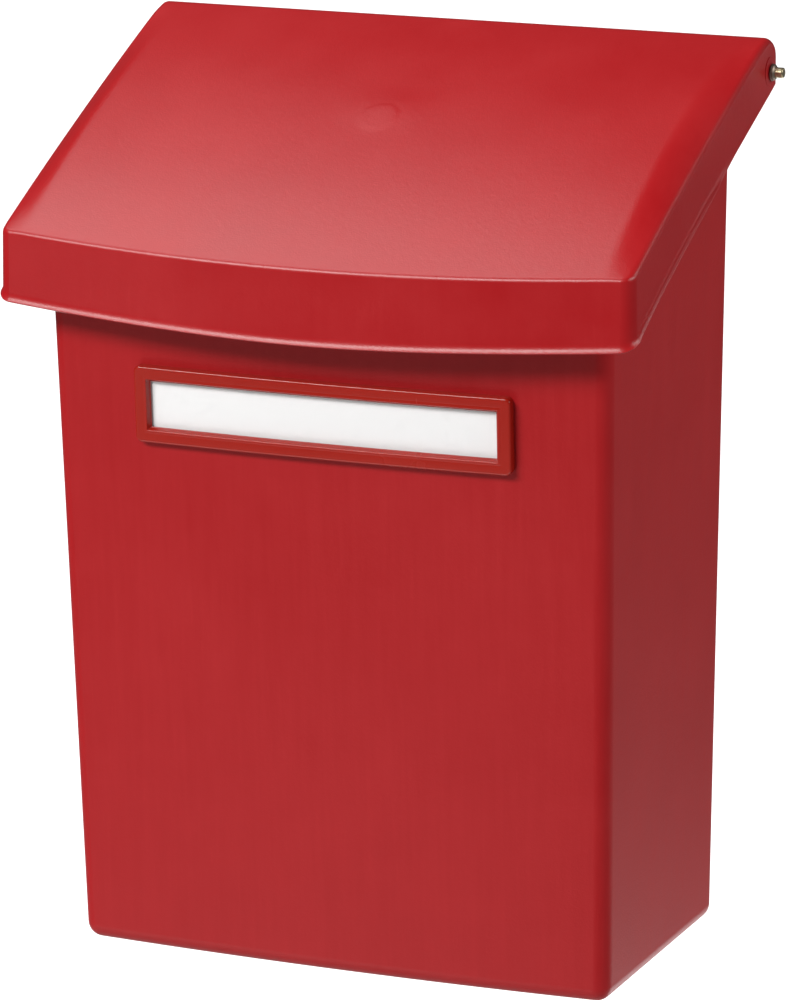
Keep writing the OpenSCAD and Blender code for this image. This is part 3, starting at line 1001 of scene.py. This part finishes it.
@dataclass
class Lid:
    """The curved lid with its skirts, lip, hinge bosses and sleeves."""

    kit: Fittings
    half: float
    reach: float
    tail: float
    bow_depth: float = 8.4
    wall: float = 2.5
    edge: float = 3.5
    corner: float = 6.5
    tail_round: float = 10.0
    skirt: float = 35.2
    skirt_tail: float = 406.6
    bend: Flat = (14.5, 20.2)
    draft: float = 0.9
    lip: float = 1.2
    lip_end: float = -40.0
    lip_fade: float = 45.0
    lip_high: float = 4.6
    tail_gap: float = 5.5
    sleeve: float = 12.2
    sleeve_from: float = 137.4
    boss: float = 15.0
    boss_out: float = 0.6
    bore: float = 5.1
    gate_at: Flat = (0.0, -81.0)
    gate_size: Flat = (18.0, 14.0)
    gate_height: float = 0.85
    disc_at: Flat = (-2.0, -89.0)
    disc_radius: float = 9.0
    disc_height: float = 0.16
    tail_share: float = 0.25
    side_line: tuple[Flat, Flat] = ((-167.2, 351.4), (-9.8, 423.2))
    side_edge: float = 1.6
    crescent_full: float = 9.0
    crescent_wide: float = 14.0
    crescent_power: float = 1.5

    def low_edge(self) -> list[Flat]:
        """Points along the skirts' lower edge, from front to tail."""
        p0 = (-self.reach, self.kit.curve.front[1] - self.skirt)
        p1 = (p0[0] + self.bend[0], p0[1] + self.bend[1])
        p2 = (self.tail, self.skirt_tail)
        curve = []
        for t in spread(0.0, 1.0, 160):
            a, b, c = (1 - t) ** 2, 2 * t * (1 - t), t * t
            curve.append((a * p0[0] + b * p1[0] + c * p2[0], a * p0[1] + b * p1[1] + c * p2[1]))
        return curve

    def low(self, y: float) -> float:
        """Height of the skirts' lower edge at depth y."""
        curve = self.lower
        if y <= curve[0][0]:
            return curve[0][1]
        for a, b in zip(curve, curve[1:]):
            if y <= b[0]:
                return lerp(a[1], b[1], (y - a[0]) / (b[0] - a[0]))
        return curve[-1][1]

    def __post_init__(self) -> None:
        """Works out the lower edge once, and the centre of the tail's round."""
        self.lower = self.low_edge()
        y = self.tail - self.tail_round
        self.tail_centre = (y, self.kit.curve.height(y, self.tail_round))

    def front(self, x: float, grow: float) -> tuple[float, float, float]:
        """The front's outline in plan.

        Args:
            x: Place across the lid.
            grow: How far the outline is grown.

        Returns:
            Depth of the front there, and the X and Y of the way it faces.
        """
        bow = Bow(self.half, self.bow_depth)
        middle = -self.reach + bow.radius
        cx = self.half - self.corner
        r = self.corner + grow
        core = bow.radius - self.corner
        cy = middle - math.sqrt(core**2 - cx**2)
        tangent = cx + r * cx / core
        if abs(x) >= tangent:
            across = min(abs(x) - cx, r)
            up = math.sqrt(max(r * r - across * across, 0.0))
            return cy - up, math.copysign(across / r, x), -up / r
        full = bow.radius + grow
        return middle - math.sqrt(full**2 - x * x), x / full, -math.sqrt(1 - (x / full) ** 2)

    def heights(self, low: float, high: float) -> list[float]:
        """Heights of the rows up a skirt, close together near its lip."""
        near = [0.0, 0.25, 0.6, 1.1, 1.7, 2.3, 3.0, 3.8, 4.8]
        return [low + h for h in near] + [lerp(low + near[-1], high, t) for t in spread(0.0, 1.0, 5)[1:]]

    def flare(self, y: float, above: float, below: float, lipped: bool) -> float:
        """How far a skirt stands out.

        Args:
            y: Depth of the point.
            above: Its height above the skirt's lower edge.
            below: Its height below the lid's upper edge.
            lipped: Whether the rounded lip is there.

        Returns:
            The distance.
        """
        out = below * math.tan(math.radians(self.draft))
        if lipped:
            fade = ease((self.lip_end - y) / self.lip_fade)
            under = drawn_in(0.7, above)
            bead = min(max(1.0 - (above - 0.6) / self.lip_high, 0.0), 1.0) ** 2.6
            out += fade * self.lip * bead - 0.9 * under
        return out

    def crescent(self, y: float) -> float:
        """How far the straight upper edge of a side lies under the curved top."""
        (y0, z0), (y1, z1) = self.side_line
        over = self.kit.curve.height(y) - lerp(z0, z1, (y - y0) / (y1 - y0)) - self.side_edge
        return (over + math.sqrt(over * over + 0.4)) / 2

    def fall(self, y: float, inset: float, grow: float) -> float:
        """How far the lid has fallen under its curved top near a side.

        Args:
            y: Depth of the point.
            inset: Its distance in from the side.
            grow: How far the skin is grown.

        Returns:
            The fall.
        """
        deep = self.crescent(y)
        r = lerp(self.edge + grow, self.side_edge, min(deep / self.crescent_full, 1.0))
        return drawn_in(r, inset) + deep * max(1.0 - (inset - grow) / self.crescent_wide, 0.0) ** self.crescent_power

    def gate(self, x: float, y: float) -> float:
        """Height of the faint mark that the moulding's feed point leaves on the top."""
        away = math.hypot((x - self.gate_at[0]) / self.gate_size[0], (y - self.gate_at[1]) / self.gate_size[1])
        off = math.hypot(x - self.disc_at[0], y - self.disc_at[1]) / self.disc_radius
        soft = 0.12 if y > self.disc_at[1] else 0.5
        disc = self.disc_height * ease((1.0 + soft / 2 - off) / soft)
        return self.gate_height * math.exp(-away * away) + disc

    def section(self, x: float, grow: float, outside: bool) -> tuple[list[Point], int, int]:
        """One line over the lid, from the lip up the front, over the top and down the tail.

        Args:
            x: Place across the lid.
            grow: How far the lid is grown.
            outside: Whether this is the outer skin.

        Returns:
            The points, and the numbers of the first and last point of the line over the top.
        """
        curve = self.kit.curve
        inset = self.half + grow - abs(x)
        r = self.edge + grow
        g = grow - drawn_in(r, inset)
        y0, nx, ny = self.front(x, grow)
        centre = (y0 + r, curve.height(y0 + r, r - g))
        nose = arc(centre, r, math.pi, curve.facing(centre), 8)
        tail = []
        for i, a in enumerate(spread(curve.facing(self.tail_centre), 0.0, 10)):
            rr = self.tail_round + lerp(g, lerp(grow, g, self.tail_share), ease(i / 10))
            tail.append((self.tail_centre[0] + rr * math.cos(a), self.tail_centre[1] + rr * math.sin(a)))
        points: list[Point] = []
        low = self.low(y0)
        lift = drawn_in(r, inset) - self.fall(y0, inset, grow)
        for z in self.heights(low, nose[0][1] + lift)[:-1]:
            out = self.flare(y0, z - low, nose[0][1] - z, outside)
            points.append((x + nx * out, y0 + ny * out, z))
        first = len(points)
        drop = drawn_in(r, inset)
        points += [(x, y, z + drop - self.fall(y, inset, grow)) for y, z in nose]
        gate_front, gate_rear = self.gate_at[1] - 30.0, self.gate_at[1] + 26.0
        over = spread(nose[-1][0], gate_front, 18)[1:] + spread(gate_front, gate_rear, 50)[1:]
        for y in over + spread(gate_rear, tail[0][0], 20)[1:-1]:
            bump = self.gate(x, y) if outside else 0.0
            points.append((x, y, curve.height(y, -grow) - self.fall(y, inset, grow) + bump))
        points += [(x, y, z) for y, z in tail]
        last = len(points) - 1
        foot = self.kit.pin[1] if abs(x) < self.half - self.tail_gap else self.skirt_tail
        points += [(x, tail[-1][0], z) for z in reversed(self.heights(foot, tail[-1][1])[:-1])]
        return points, first, last

    def columns(self, grow: float) -> list[float]:
        """Places across the lid, close together at its sides."""
        outer = self.half + grow
        r = self.edge + grow
        gap = self.half - self.tail_gap
        ends = [outer - r * (1 - math.cos(a)) for a in spread(0.0, math.pi / 2, 8)]
        ends += [lerp(outer - r, gap, 0.5), gap + 0.02, gap - 0.02]
        middle = spread(gap - 2.0, gap - 15.0, 6) + spread(gap - 20.0, 32.0, 12) + spread(30.5, 0.0, 26)
        half = ends + middle
        return half + [-x for x in reversed(half[:-1])]

    def skin(self, maker: Maker, grow: float, outside: bool) -> list[Point]:
        """Adds one skin of the lid.

        Args:
            maker: Where the faces go.
            grow: How far the skin is grown from the lid's outside.
            outside: Whether this is the outer skin.

        Returns:
            The skin's lower edge, as one closed loop.
        """
        xs = self.columns(grow)
        rows = [self.section(x, grow, outside) for x in xs]
        maker.grid([points for points, _, _ in rows])
        sides: list[Grid] = []
        for (points, first, last), sign in ((rows[0], 1), (rows[-1], -1)):
            lines: Grid = []
            y_front, y_tail = points[first][1], points[last][1]
            for i in range(first, last + 1):
                top = points[i]
                share = (i - first) / (last - first)
                y_low = min(max(lerp(top[1], lerp(y_front, y_tail, share), 0.25), y_front), y_tail)
                if i in (first, last):
                    y_low = top[1]
                low = self.low(y_low)
                line: list[Point] = []
                for z in self.heights(low, top[2]):
                    t = (z - low) / (top[2] - low)
                    y = lerp(y_low, top[1], t)
                    out = self.flare(y, z - low, top[2] - z, outside)
                    line.append((top[0] + sign * out, y, z))
                lines.append(line)
            lines[0] = [*points[:first], points[first]]
            lines[-1] = [*reversed(points[last + 1 :]), points[last]]
            maker.grid(lines)
            sides.append(lines)
        right, left = sides
        loop = [line[0] for line in reversed(right)][:-1]
        loop += [points[0] for points, _, _ in rows][:-1]
        loop += [line[0] for line in left][:-1]
        return loop + [points[-1] for points, _, _ in reversed(rows)][:-1]

    def shell(self) -> Thing:
        """The lid's two skins, joined round their lower edge."""
        maker = Maker("lid", self.kit.mould)
        maker.grid([self.skin(maker, 0.0, True), self.skin(maker, -self.wall, False)], closed=True)
        return maker.done()

    def build(self) -> Thing:
        """Builds and dresses the lid."""
        lid = self.shell()
        added = Maker("sleeves", self.kit.mould)
        for sign in (-1, 1):
            for wide, x0, x1, soft in (
                (self.sleeve, self.sleeve_from, self.half - 1.2, 0.4),
                (self.boss, self.half - 1.1, self.half + self.boss_out, -0.35),
            ):
                added.solid(self.soft_disc(wide / 2, sign * x0, sign * x1, soft))
        join(lid, added.done(), Join.ADD)
        bore = Maker("bore", self.kit.mould)
        bore.prism(circle(self.kit.pin, self.bore / 2, 48), -self.half - 5, self.half + 5)
        join(lid, bore.done(), Join.CUT)
        return self.kit.dress(lid, self.kit.finishes.lid, Body.LID, Slot.LID, "lid_shell")

    def soft_disc(self, radius: float, x0: float, x1: float, soft: float) -> Grid:
        """Rings of a short round bar on the rod's axis.

        Args:
            radius: Radius of the bar.
            x0: Place of its one end.
            x1: Place of its other end.
            soft: Rounding of the first end, or with a minus sign of the second.

        Returns:
            Rings of points.
        """
        way = math.copysign(1.0, x1 - x0)
        near, size = (x0, soft) if soft > 0 else (x1, -soft)
        into = way * soft
        soft_end = [(near, radius - size), (near + into * 0.3, radius - size * 0.3), (near + into, radius)]
        profile = [*soft_end, (x1, radius)] if soft > 0 else [(x0, radius), *reversed(soft_end)]
        return turned(self.kit.pin, profile, 64)


@dataclass
class Hinge:
    """The steel rod with a flat washer and a push-on retainer at each end."""

    kit: Fittings
    tip: float
    washer_at: float
    washer: float
    washer_thick: float
    retainer: float
    retainer_thick: float
    rod: float = 5.0

    def fit(self, name: str, profile: Sequence[Flat], node: str) -> None:
        """Builds and dresses a turned zinc piece on the rod, with a profile closed round its bore."""
        maker = Maker(name, self.kit.mould)
        rings = turned(self.kit.pin, profile, 72)
        maker.grid(rings + rings[:1], closed=True)
        self.kit.dress(maker.done(), self.kit.finishes.zinc, Body.BOX, Slot.ZINC, node)

    def build(self) -> None:
        """Builds and dresses the rod and what is on it."""
        tip, r = self.tip, self.rod / 2
        half: list[Flat] = [(tip, r - 0.55), (tip - 0.12, r - 0.3), (tip - 0.45, r - 0.06), (tip - 0.8, r)]
        half += [(tip - 2.5, r), (tip - 2.6, r - 0.1), (tip - 2.9, r - 0.1), (tip - 3.0, r)]
        half += [(x, r) for x in spread(tip - 8, 0.0, 8)]
        maker = Maker("rod", self.kit.mould)
        maker.solid(turned(self.kit.pin, half + [(-x, radius) for x, radius in reversed(half[:-1])], 72))
        self.kit.dress(maker.done(), self.kit.finishes.rod, Body.BOX, Slot.ROD, "hinge_rod", 40.0)
        a, b, w, c = self.washer_at, self.washer_at + self.washer_thick, self.washer / 2, self.retainer / 2
        top = b + self.retainer_thick
        flat = [(a, r + 0.2), (a, w - 0.15), (a + 0.08, w - 0.04), (a + 0.2, w), (b - 0.25, w)]
        flat += [(b - 0.08, w - 0.08), (b, w - 0.25), (b, r + 0.35), (b - 0.15, r + 0.2)]
        dome = [(b + 0.02, r + 0.05), (b + 0.02, c - 0.1), (b + 0.15, c), (b + 0.5, c), (b + 0.62, c - 0.08)]
        dome += [(b + 0.7, c - 0.25), (top - 0.22, c - 0.6), (top - 0.06, c - 0.8), (top, r + 0.3)]
        dome += [(top - 0.12, r + 0.05)]
        for side, sign in (("left", -1), ("right", 1)):
            self.fit(f"washer_plate_{side}", [(sign * x, radius) for x, radius in flat], f"washer_{side}")
            self.fit(f"push_retainer_{side}", [(sign * x, radius) for x, radius in dome], f"retainer_{side}")


@dataclass
class NamePlate:
    """The clip-on name plate holder: bevelled frame, clear window and white card."""

    kit: Fittings
    body: BoxBody
    height: float = 270.0
    card: Flat = (172.0, 21.8)
    bars: Flat = (7.6, 7.3)
    stand: float = 4.4
    round_out: float = 3.0
    seat: float = 0.1
    pocket: float = 1.6
    pocket_edge: float = 2.2
    window_thick: float = 0.7
    card_thick: float = 0.4
    sheet_corner: float = 0.8
    clip: Point = (8.0, 2.0, 1.0)
    clip_at: float = 62.0
    clip_sides: tuple[tuple[int, int], ...] = ((-1, -1), (-1, 1), (1, -1), (1, 1))
    clip_reach: float = 1.4
    play: float = 0.2

    @property
    def bow(self) -> Bow:
        """The bow of the body's front."""
        return Bow(self.body.width / 2, self.body.bow_depth)

    def on_front(self, x: float, out: float, up: float) -> Point:
        """A place on the front wall.

        Args:
            x: Place across.
            out: Distance out from the bowed wall.
            up: Distance up the wall from the holder's middle.

        Returns:
            The point in the mould's measure.
        """
        lean = math.radians(self.body.front_lean)
        y = self.bow.fall(x) - out
        front = -(self.body.depth + self.height * math.tan(lean)) - self.body.bow_depth
        sine, cosine = math.sin(lean), math.cos(lean)
        return x, front + y * cosine - up * sine, self.height + y * sine + up * cosine

    def frame_profile(self) -> list[Flat]:
        """The bars' section, as distances in from the outer edge and out from the wall."""
        s, r = self.stand, 1.1
        bar = self.bars[1]
        outer = [(r - r * math.cos(a), s - r + r * math.sin(a)) for a in spread(0.0, math.pi / 2, 6)]
        inner = [(bar - 1.5 + 0.35 * math.sin(a), s - 0.35 + 0.35 * math.cos(a)) for a in spread(0.0, math.pi / 4, 3)]
        groove = [(bar - 3.2, s), (bar - 2.9, s - 0.06), (bar - 2.6, s - 0.06), (bar - 2.3, s)]
        lip = [(bar - 0.35, self.pocket + 0.55), (bar, self.pocket + 0.3), (bar, self.pocket)]
        pocket = [(bar - self.pocket_edge, self.pocket), (bar - self.pocket_edge, self.seat)]
        return [(0.0, self.seat), *outer, *groove, *inner, *lip, *pocket]

    def frame(self) -> Thing:
        """The bevelled frame with its four clips."""
        maker = Maker("plate_frame", self.kit.mould)
        wide = self.card[0] + 2 * self.bars[0]
        high = self.card[1] + 2 * self.bars[1]
        rows: Grid = []
        for inward, out in self.frame_profile():
            share = inward / self.bars[1]
            w, h = wide - 2 * share * self.bars[0], high - 2 * inward
            outline = rounded_box(w, h, max(self.round_out - inward, 0.5), 8, 32)
            rows.append([self.on_front(x, out, z) for x, z in outline])
        maker.grid(rows + rows[:1], closed=True)
        frame_piece = maker.done()
        join(frame_piece, self.clips(), Join.ADD)
        return frame_piece

    def clips(self) -> Thing:
        """The hooks behind the frame."""
        maker = Maker("clips", self.kit.mould)
        w, t, hook = self.clip
        deep = self.body.wall + self.clip_reach
        outline = [(1.5, -t / 2), (-deep + 0.4, -t / 2), (-deep, -t / 2 + 0.4), (-deep, t / 2 + hook - 0.5)]
        outline += [(-deep + 0.3, t / 2 + hook), (-deep + hook, t / 2 + hook), (-deep + hook, t / 2), (1.5, t / 2)]
        middle = self.card[1] / 2 + self.bars[1] / 2
        for sx, sz in self.clip_sides:
            x = sx * self.clip_at
            ends: Grid = []
            for end in (x - w / 2, x + w / 2):
                shift = self.bow.fall(self.clip_at) - self.bow.fall(end)
                ends.append([self.on_front(end, out + shift, sz * (middle + up)) for out, up in outline])
            maker.solid(ends)
        return maker.done()

    def slots(self) -> Thing:
        """Cutting shape for the slots that the clips pass through."""
        maker = Maker("clip_slots", self.kit.mould)
        w, t, hook = self.clip
        middle = self.card[1] / 2 + self.bars[1] / 2
        top = middle + t / 2 + self.play
        low = top - t - hook - 2 * self.play
        for sx, sz in self.clip_sides:
            x = sx * self.clip_at
            x0, x1 = x - w / 2 - self.play, x + w / 2 + self.play
            corners = ((x0, low), (x1, low), (x1, top), (x0, top))
            depths = (1.0, -self.body.wall - 1.0)
            maker.solid([[self.on_front(xx, out, sz * up) for xx, up in corners] for out in depths])
        return maker.done()

    def plate(self, name: str, size: Flat, near: float, far: float, edge: float) -> Thing:
        """A thin plate that follows the bow of the front.

        Args:
            name: Name of the piece.
            size: Its width and height.
            near: Distance of its back from the wall.
            far: Distance of its face from the wall.
            edge: Rounding of its edges.

        Returns:
            The piece.
        """
        maker = Maker(name, self.kit.mould)
        layers = [(edge, near), (0.0, near + edge), (0.0, far - edge), (edge * 0.3, far - edge * 0.3), (edge, far)]
        rows: Grid = []
        for inward, out in layers:
            outline = rounded_box(size[0] - 2 * inward, size[1] - 2 * inward, self.sheet_corner, 4, 32)
            rows.append([self.on_front(x, out, z) for x, z in outline])
        maker.grid(rows, closed=True)
        r = self.sheet_corner
        half_w, half_h = size[0] / 2 - edge - r, size[1] / 2 - edge
        corner = arc((half_w, r - half_h), r, -math.pi / 2, 0.0, 4)
        end = corner + [(x, -z) for x, z in reversed(corner)]
        for out in (near, far):
            maker.grid([[self.on_front(x, out, z) for x in spread(-half_w, half_w, 32)] for z in (-half_h, half_h)])
            for sign in (-1, 1):
                maker.cap([self.on_front(sign * x, out, z) for x, z in end])
        return maker.done()

    def build(self) -> None:
        """Builds and dresses the holder."""
        kit = self.kit
        kit.dress(self.frame(), kit.finishes.frame, Body.BOX, Slot.FRAME, "label_frame", 28.0)
        size = (self.card[0] + 2 * self.pocket_edge - 0.8, self.card[1] + 2 * self.pocket_edge - 0.6)
        near = self.seat + self.card_thick + 0.1
        window = self.plate("clear_window_sheet", size, near, near + self.window_thick, 0.15)
        kit.dress(window, kit.finishes.window, Body.BOX, Slot.WINDOW, "label_window")
        size = (self.card[0] + 2 * self.pocket_edge - 1.0, self.card[1] + 2 * self.pocket_edge - 0.8)
        card = self.plate("name_card", size, self.seat, self.seat + self.card_thick, 0.08)
        kit.dress(card, kit.finishes.card, Body.BOX, Slot.CARD, "label_card")


# ---- Studio ----


@dataclass(frozen=True)
class SoftLight:
    """A square or oblong soft light.

    Attributes:
        name: Name of the light.
        at: Place of its middle, in metres.
        aim: The point it faces.
        size: Width and height, in metres.
        watts: Power.
        turn: Turn about its own axis, in degrees.
    """

    name: str
    at: Point
    aim: Point
    size: Flat
    watts: float
    turn: float = 0.0

    def build(self) -> None:
        """Adds the light to the scene."""
        lamp = bpy.data.lights.new(self.name, "AREA")
        lamp.shape = "RECTANGLE"
        lamp.size, lamp.size_y = self.size
        lamp.energy = self.watts
        thing = bpy.data.objects.new(self.name, lamp)
        thing.location = self.at
        way = Vector(self.aim) - Vector(self.at)
        turned = Quaternion((0.0, 0.0, 1.0), math.radians(self.turn))
        thing.rotation_euler = (way.to_track_quat("-Z", "Y") @ turned).to_euler()
        bpy.context.scene.collection.objects.link(thing)


@dataclass
class Studio:
    """Pale floor, soft lights and camera."""

    azimuth: float = 22.97
    elevation: float = 13.98
    roll: float = -0.30
    distance: float = 2.68
    lens: float = 204.3
    aim_offset: Point = (-0.0013, 0.0052, -0.0026)
    floor_drop: float = 1.0
    floor_size: float = 40.0
    floor_grey: Colour = (0.74, 0.74, 0.74)
    lights: tuple[SoftLight, ...] = (
        SoftLight("front_key", (-1.25, -2.8, 2.05), (0.0, -0.1, 0.0), (2.2, 0.8), 114.0),
        SoftLight("overhead", (-0.7, -0.28, 1.75), (-0.1, -0.12, 0.1), (1.2, 0.9), 12.5),
        SoftLight("overhead_rear", (-1.0, 0.36, 1.75), (-0.1, -0.05, 0.1), (1.2, 0.5), 1.9),
        SoftLight("right_fill", (2.5, 0.2, 1.3), (0.0, -0.1, 0.0), (2.4, 0.8), 38.0),
        SoftLight("edge_glow", (1.55, 2.79, 0.0), (0.15, -0.07, 0.18), (0.8, 0.22), 0.8),
        SoftLight("left_glow", (-1.3, -1.7, -0.25), (-0.1, -0.2, 0.13), (0.5, 0.4), 0.7),
        SoftLight("low_glow", (0.55, 0.75, -0.85), (0.14, -0.05, -0.15), (0.6, 0.4), 2.6),
        SoftLight("front_glow", (-0.55, -1.2, -0.95), (-0.05, -0.17, -0.1), (0.9, 0.5), 2.6),
        SoftLight("floor_wash", (-2.35, 5.4, -0.75), (-2.35, 5.4, -1.2), (2.6, 9.0), 135.0, turn=23.0),
    )
    air: float = 0.06

    def camera(self) -> None:
        """Sets the camera on the middle of the CAD model's box."""
        low, high = CAD_BOX
        target = (low + high) / 2 + Vector(self.aim_offset)
        a, e, tilt = (math.radians(v) for v in (self.azimuth, self.elevation, self.roll))
        back = Vector((math.sin(a) * math.cos(e), -math.cos(a) * math.cos(e), math.sin(e)))
        right = Vector((math.cos(a), math.sin(a), 0.0))
        up = back.cross(right)
        across = right * math.cos(tilt) + up * math.sin(tilt)
        above = up * math.cos(tilt) - right * math.sin(tilt)
        lens = bpy.data.cameras.new("camera")
        lens.lens = self.lens
        lens.sensor_width = 36.0
        lens.clip_end = 100.0
        thing = bpy.data.objects.new("camera", lens)
        turn = Matrix((across, above, back)).transposed().to_4x4()
        thing.matrix_world = Matrix.Translation(target + back * self.distance) @ turn
        bpy.context.scene.collection.objects.link(thing)
        bpy.context.scene.camera = thing

    def floor(self) -> None:
        """Lays the plain pale floor well below the hanging box."""
        material, nodes, skin = start_material("pale_floor")
        place = nodes.add("ShaderNodeTexCoord").outputs["Object"]
        rough = nodes.range(nodes.noise(place, 3.0, 3.0), 0.0, 1.0, 0.85, 0.95)
        nodes.give(skin, Roughness=rough, Base_Color=(*self.floor_grey, 1.0), Specular_IOR_Level=0.1)
        mesh = bpy.data.meshes.new("floor")
        half = self.floor_size / 2
        level = CAD_BOX[0].z - self.floor_drop
        corners = [(-half, -half, level), (half, -half, level), (half, half, level), (-half, half, level)]
        mesh.from_pydata(corners, [], [(0, 1, 2, 3)])
        thing = bpy.data.objects.new("floor", mesh)
        mesh.materials.append(material)
        bpy.context.scene.collection.objects.link(thing)

    def build(self) -> None:
        """Builds the whole studio."""
        self.camera()
        self.floor()
        for light in self.lights:
            light.build()
        world = bpy.data.worlds.new("studio_air")
        world.use_nodes = True
        sky = world.node_tree.nodes["Background"]
        sky.inputs["Color"].default_value = (1.0, 1.0, 1.0, 1.0)
        sky.inputs["Strength"].default_value = self.air
        bpy.context.scene.world = world
        bpy.context.scene.view_settings.view_transform = "Standard"


def main() -> None:
    """Builds the studio and every piece in order."""
    logging.basicConfig(level=logging.INFO, format="%(name)s %(message)s")
    joint = frame["joints"][0]["pos_m"]
    pin_back = 5.8
    mould = Mould(back=joint[1] - pin_back * MM, under=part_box("body_shell")[0].z)
    pin = (pin_back, mould.height_of(joint[2]))
    lid_low, lid_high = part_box("lid_shell")
    lip = 1.3
    curve = LidCurve(front=(mould.depth_of(lid_low.y) + lip, 344.0), rear=(0.0, 428.3), rise=9.0)
    kit = Fittings(mould, Shelf(), Finishes(), pin, curve)
    Studio().build()
    body = BoxBody(kit)
    plate = NamePlate(kit, body)
    body.build(plate.slots())
    Lid(kit, half=lid_high.x / MM - lip, reach=-curve.front[0], tail=mould.depth_of(lid_high.y)).build()
    washer_low, washer_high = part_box("washer_right")
    retainer_low, retainer_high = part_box("retainer_right")
    Hinge(
        kit,
        tip=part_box("hinge_rod")[1].x / MM,
        washer_at=washer_low.x / MM,
        washer=(washer_high.z - washer_low.z) / MM,
        washer_thick=(washer_high.x - washer_low.x) / MM,
        retainer=(retainer_high.z - retainer_low.z) / MM,
        retainer_thick=(retainer_high.x - retainer_low.x) / MM,
    ).build()
    plate.build()


if __name__ == "__main__":
    main()
